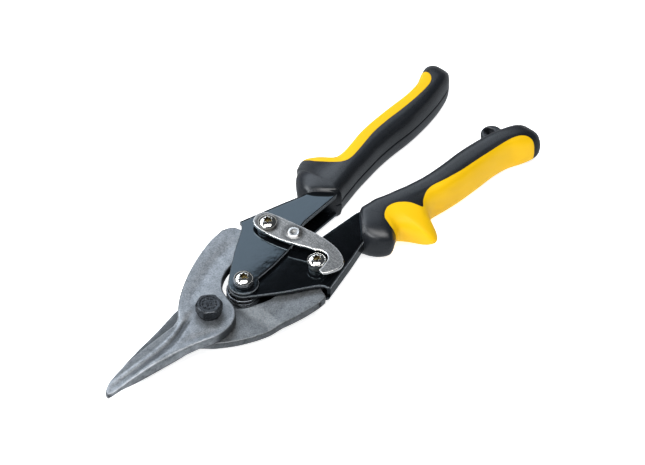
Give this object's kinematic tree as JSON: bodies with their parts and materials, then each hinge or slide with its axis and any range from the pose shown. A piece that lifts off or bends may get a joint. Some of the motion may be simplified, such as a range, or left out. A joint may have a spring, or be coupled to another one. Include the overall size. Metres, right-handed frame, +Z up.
{
  "type": "aviation snips",
  "caption": "Compound-action sheet-metal snips: curved overlapping blades on a bolted pivot, channel handles with guarded grips, a hook latch and a return spring.",
  "frame": {"origin": "centre of the flat end of the blade pivot bolt, in the plane the tool rests on when it lies flat", "axes": "+X from the handles to the jaw tips, +Y towards the handle without the latch screw, +Z up, along the blade pivot's axis"},
  "size_m": [0.252, 0.0805, 0.023],
  "materials": {
    "forged_steel": "bead-blasted forged steel, mid grey with a mottled grain",
    "black_oxide": "black oxide on steel, satin",
    "black_paint": "gloss black paint on pressed steel",
    "grip_black": "matte black moulded rubber",
    "grip_yellow": "saturated yellow moulded plastic, satin",
    "plated_steel": "satin nickel plate with a speckled grain and polished edges",
    "nickel": "bright nickel plate",
    "zinc": "zinc plate"
  },
  "bodies": {
    "lower": {"lower_blade": "forged_steel", "pivot_bolt": "black_oxide", "pivot_washer": "black_oxide", "pivot_nut": "black_oxide"},
    "upper": {"upper_blade": "forged_steel"},
    "right": {"right_handle": "black_paint", "right_grip": "grip_black", "right_grip_insert": "grip_yellow", "right_tail_spacer": "zinc", "latch_spacer": "zinc", "latch_screw": "nickel", "latch_nut": "zinc", "handle_pivot_sleeve": "zinc", "handle_pivot_washer": "black_oxide", "handle_pivot_screw": "nickel", "handle_pivot_nut": "zinc", "spring_coil": "black_oxide"},
    "left": {"left_handle": "black_paint", "left_grip": "grip_black", "left_grip_insert": "grip_yellow", "left_tail_washer_top": "zinc", "left_tail_washer_bottom": "zinc", "catch_collar": "zinc", "catch_screw": "nickel", "catch_nut": "zinc", "spring_top_turn": "black_oxide"},
    "latch": {"latch_plate": "plated_steel"}
  },
  "joints": [
    {"name": "jaw_pivot", "type": "hinge", "parent": "lower", "child": "upper", "pos_m": [0, 0, 0.01], "axis": [0, 0, 1], "range_deg": [0, 24]},
    {"name": "right_handle_pivot", "type": "hinge", "parent": "upper", "child": "right", "pos_m": [-0.0535, -0.0156, 0.01], "axis": [0, 0, 1], "range_deg": [0, 9.9]},
    {"name": "left_handle_pivot", "type": "hinge", "parent": "lower", "child": "left", "pos_m": [-0.0535, 0.0156, 0.01], "axis": [0, 0, 1], "range_deg": [-9.9, 0]},
    {"name": "latch_swing", "type": "hinge", "parent": "right", "child": "latch", "pos_m": [-0.0535, -0.0156, 0.0197], "axis": [0, 0, 1], "range_deg": [0, 60]}
  ],
  "couplings": [
    {"joint": "right_handle_pivot", "follows": "jaw_pivot", "ratio": 0.4125},
    {"joint": "left_handle_pivot", "follows": "jaw_pivot", "ratio": -0.4125},
    {"joint": "latch_swing", "follows": "jaw_pivot", "ratio": 2.5}
  ]
}
